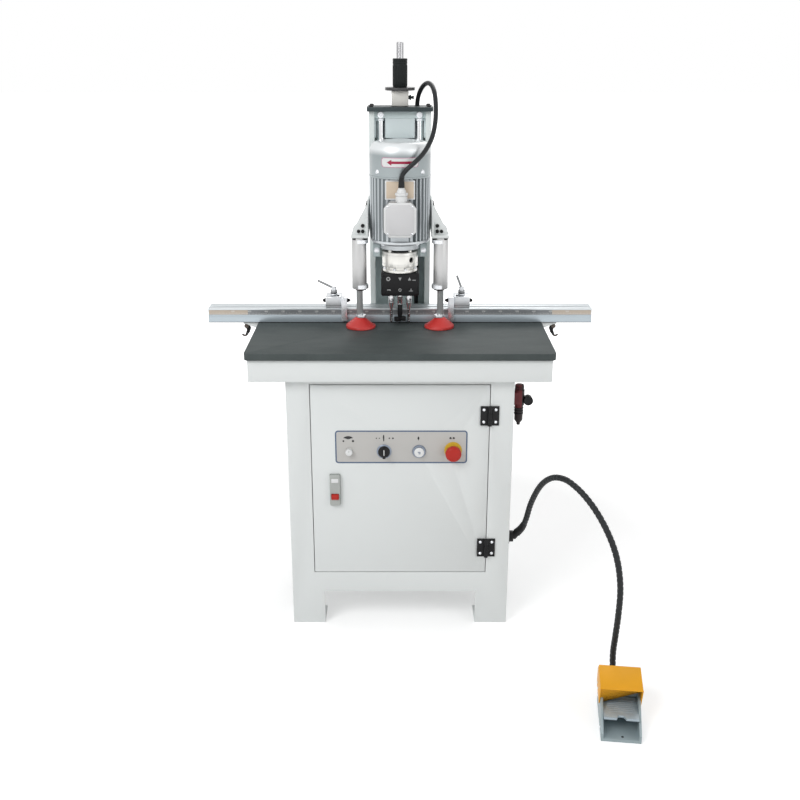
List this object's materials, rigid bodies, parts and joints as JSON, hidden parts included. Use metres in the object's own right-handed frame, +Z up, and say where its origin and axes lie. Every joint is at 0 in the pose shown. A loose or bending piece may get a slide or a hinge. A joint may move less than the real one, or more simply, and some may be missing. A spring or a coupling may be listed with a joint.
{
  "type": "wood boring machine",
  "caption": "Bench-height pneumatic wood boring machine: vertical motor on a column slide over geared hinge bits, clamps, stops on a fence rail, cabinet with door, foot pedal on a hose.",
  "frame": {"origin": "on the work table's top face, straight below the boring axis", "axes": "+Z up along the spindle, +X the operator's right, +Y from the operator towards the column"},
  "size_m": [1.1994, 1.0571, 1.6463],
  "materials": {
    "white_paint": "satin",
    "grey_paint": "satin",
    "table_laminate": "matt",
    "dark_steel": "satin",
    "chrome": "polished",
    "steel": "brushed",
    "aluminium": "satin",
    "cast_aluminium": "cast",
    "black_metal": "satin",
    "black_plastic": "satin",
    "black_rubber": "matt",
    "cream_plastic": "satin",
    "red_rubber": "satin",
    "red_plastic": "gloss",
    "white_plastic": "gloss",
    "grey_plastic": "satin",
    "board_plastic": "matt",
    "pedal_grey": "painted casting",
    "treadle_grey": "satin",
    "hood_yellow": "satin"
  },
  "bodies": {
    "machine": {"work_table": "table_laminate", "apron": "white_paint", "cabinet": "white_paint", "column": "grey_paint", "control_board": "board_plastic", "top_plate": "dark_steel", "guide_rod_left": "chrome", "guide_rod_right": "chrome", "lift_cylinder": "cast_aluminium", "stroke_stop": "cream_plastic", "fence_rail": "aluminium", "rail_bracket_left": "white_paint", "rail_bracket_right": "white_paint", "clamp_bracket_left": "white_paint", "clamp_bracket_right": "white_paint", "clamp_cylinder_left": "aluminium", "clamp_cylinder_right": "aluminium", "hinge_upper_frame_leaf": "black_metal", "hinge_lower_frame_leaf": "black_metal", "air_unit": "black_plastic", "hose_gland": "black_plastic", "foot_hose": "black_rubber", "pedal_base": "pedal_grey", "pedal_hood": "hood_yellow"},
    "door": {"door": "white_paint", "door_latch": "grey_plastic", "hinge_upper_door_leaf": "black_metal", "hinge_lower_door_leaf": "black_metal"},
    "delay": {"delay_knob": "white_plastic"},
    "selector": {"selector_switch": "black_plastic"},
    "start": {"start_button": "white_plastic"},
    "emergency": {"emergency_stop": "red_plastic"},
    "latch": {"latch_button": "red_plastic"},
    "head": {"lift_rod": "steel", "carriage": "grey_paint", "spindle_housing": "cast_aluminium", "gear_head": "black_metal", "motor_housing": "cast_aluminium", "end_bell": "cast_aluminium", "fan_cowl": "cast_aluminium", "terminal_box": "cast_aluminium", "terminal_gland": "white_plastic", "motor_cable": "black_rubber"},
    "spindle": {"motor_rotor": "steel", "centre_spindle": "steel", "hinge_bit": "black_metal"},
    "side_spindle_left": {"side_spindle_left": "steel"},
    "side_spindle_right": {"side_spindle_right": "steel"},
    "sleeve": {"stroke_sleeve": "black_rubber"},
    "clamp_left": {"clamp_rod_left": "chrome", "clamp_foot_left": "red_rubber"},
    "clamp_right": {"clamp_rod_right": "chrome", "clamp_foot_right": "red_rubber"},
    "stop_left": {"stop_block_left": "aluminium"},
    "stop_right": {"stop_block_right": "aluminium"},
    "stop_blade_left": {"stop_plate_left": "steel"},
    "stop_blade_right": {"stop_plate_right": "steel"},
    "stop_lever_left": {"stop_lever_left": "black_metal"},
    "stop_lever_right": {"stop_lever_right": "black_metal"},
    "treadle": {"pedal_plate": "treadle_grey"}
  },
  "joints": [
    {"name": "door_swing", "type": "hinge", "parent": "machine", "child": "door", "pos_m": [0.251, -0.2783, -0.3891], "axis": [0, 0, 1], "range_deg": [0, 95]},
    {"name": "delay_turn", "type": "hinge", "parent": "door", "child": "delay", "pos_m": [-0.144, -0.2723, -0.2961], "axis": [0, 1, 0], "range_deg": [-140, 140]},
    {"name": "selector_turn", "type": "hinge", "parent": "door", "child": "selector", "pos_m": [-0.045, -0.2723, -0.2961], "axis": [0, 1, 0], "range_deg": [-45, 45]},
    {"name": "start_press", "type": "slide", "parent": "door", "child": "start", "axis": [0, 1, 0], "range_m": [0, 0.004], "stiffness_N_per_m": 400, "springref_m": -0.004},
    {"name": "emergency_press", "type": "slide", "parent": "door", "child": "emergency", "axis": [0, 1, 0], "range_m": [0, 0.005]},
    {"name": "latch_press", "type": "slide", "parent": "door", "child": "latch", "axis": [0, 1, 0], "range_m": [0, 0.003], "stiffness_N_per_m": 300, "springref_m": -0.003},
    {"name": "head_feed", "type": "slide", "parent": "machine", "child": "head", "axis": [0, 0, 1], "range_m": [0, 0.06], "deforming": ["motor_cable"]},
    {"name": "spindle_spin", "type": "hinge", "parent": "head", "child": "spindle", "pos_m": [0, 0, 0.097], "axis": [0, 0, 1], "continuous": true},
    {"name": "side_spin_left", "type": "hinge", "parent": "head", "child": "side_spindle_left", "pos_m": [-0.026, -0.0055, 0.097], "axis": [0, 0, 1], "continuous": true},
    {"name": "side_spin_right", "type": "hinge", "parent": "head", "child": "side_spindle_right", "pos_m": [0.026, -0.0055, 0.097], "axis": [0, 0, 1], "continuous": true},
    {"name": "stroke_set", "type": "slide", "parent": "head", "child": "sleeve", "axis": [0, 0, 1], "range_m": [0, 0.02]},
    {"name": "clamp_lift_left", "type": "slide", "parent": "machine", "child": "clamp_left", "axis": [0, 0, 1], "range_m": [0, 0.05]},
    {"name": "clamp_lift_right", "type": "slide", "parent": "machine", "child": "clamp_right", "axis": [0, 0, 1], "range_m": [0, 0.05]},
    {"name": "stop_slide_left", "type": "slide", "parent": "machine", "child": "stop_left", "axis": [-1, 0, 0], "range_m": [0, 0.33]},
    {"name": "stop_slide_right", "type": "slide", "parent": "machine", "child": "stop_right", "axis": [1, 0, 0], "range_m": [0, 0.33]},
    {"name": "blade_flip_left", "type": "hinge", "parent": "stop_left", "child": "stop_blade_left", "pos_m": [-0.175, 0.034, 0.0663], "axis": [1, 0, 0], "range_deg": [-200, 0]},
    {"name": "blade_flip_right", "type": "hinge", "parent": "stop_right", "child": "stop_blade_right", "pos_m": [0.161, 0.034, 0.0663], "axis": [1, 0, 0], "range_deg": [-200, 0]},
    {"name": "lever_turn_left", "type": "hinge", "parent": "stop_left", "child": "stop_lever_left", "pos_m": [-0.1985, 0.0525, 0.0788], "axis": [0, 0, 1], "range_deg": [-60, 60]},
    {"name": "lever_turn_right", "type": "hinge", "parent": "stop_right", "child": "stop_lever_right", "pos_m": [0.1845, 0.0525, 0.0788], "axis": [0, 0, 1], "range_deg": [-75, 25]},
    {"name": "treadle_press", "type": "hinge", "parent": "machine", "child": "treadle", "pos_m": [0.56495, -0.72235, -0.8], "axis": [0.9925, -0.1219, 0], "range_deg": [0, 8], "stiffness_Nm_per_rad": 2, "springref_deg": -8.59}
  ],
  "couplings": [
    {"joint": "side_spin_left", "follows": "spindle_spin", "ratio": -1},
    {"joint": "side_spin_right", "follows": "spindle_spin", "ratio": -1}
  ]
}
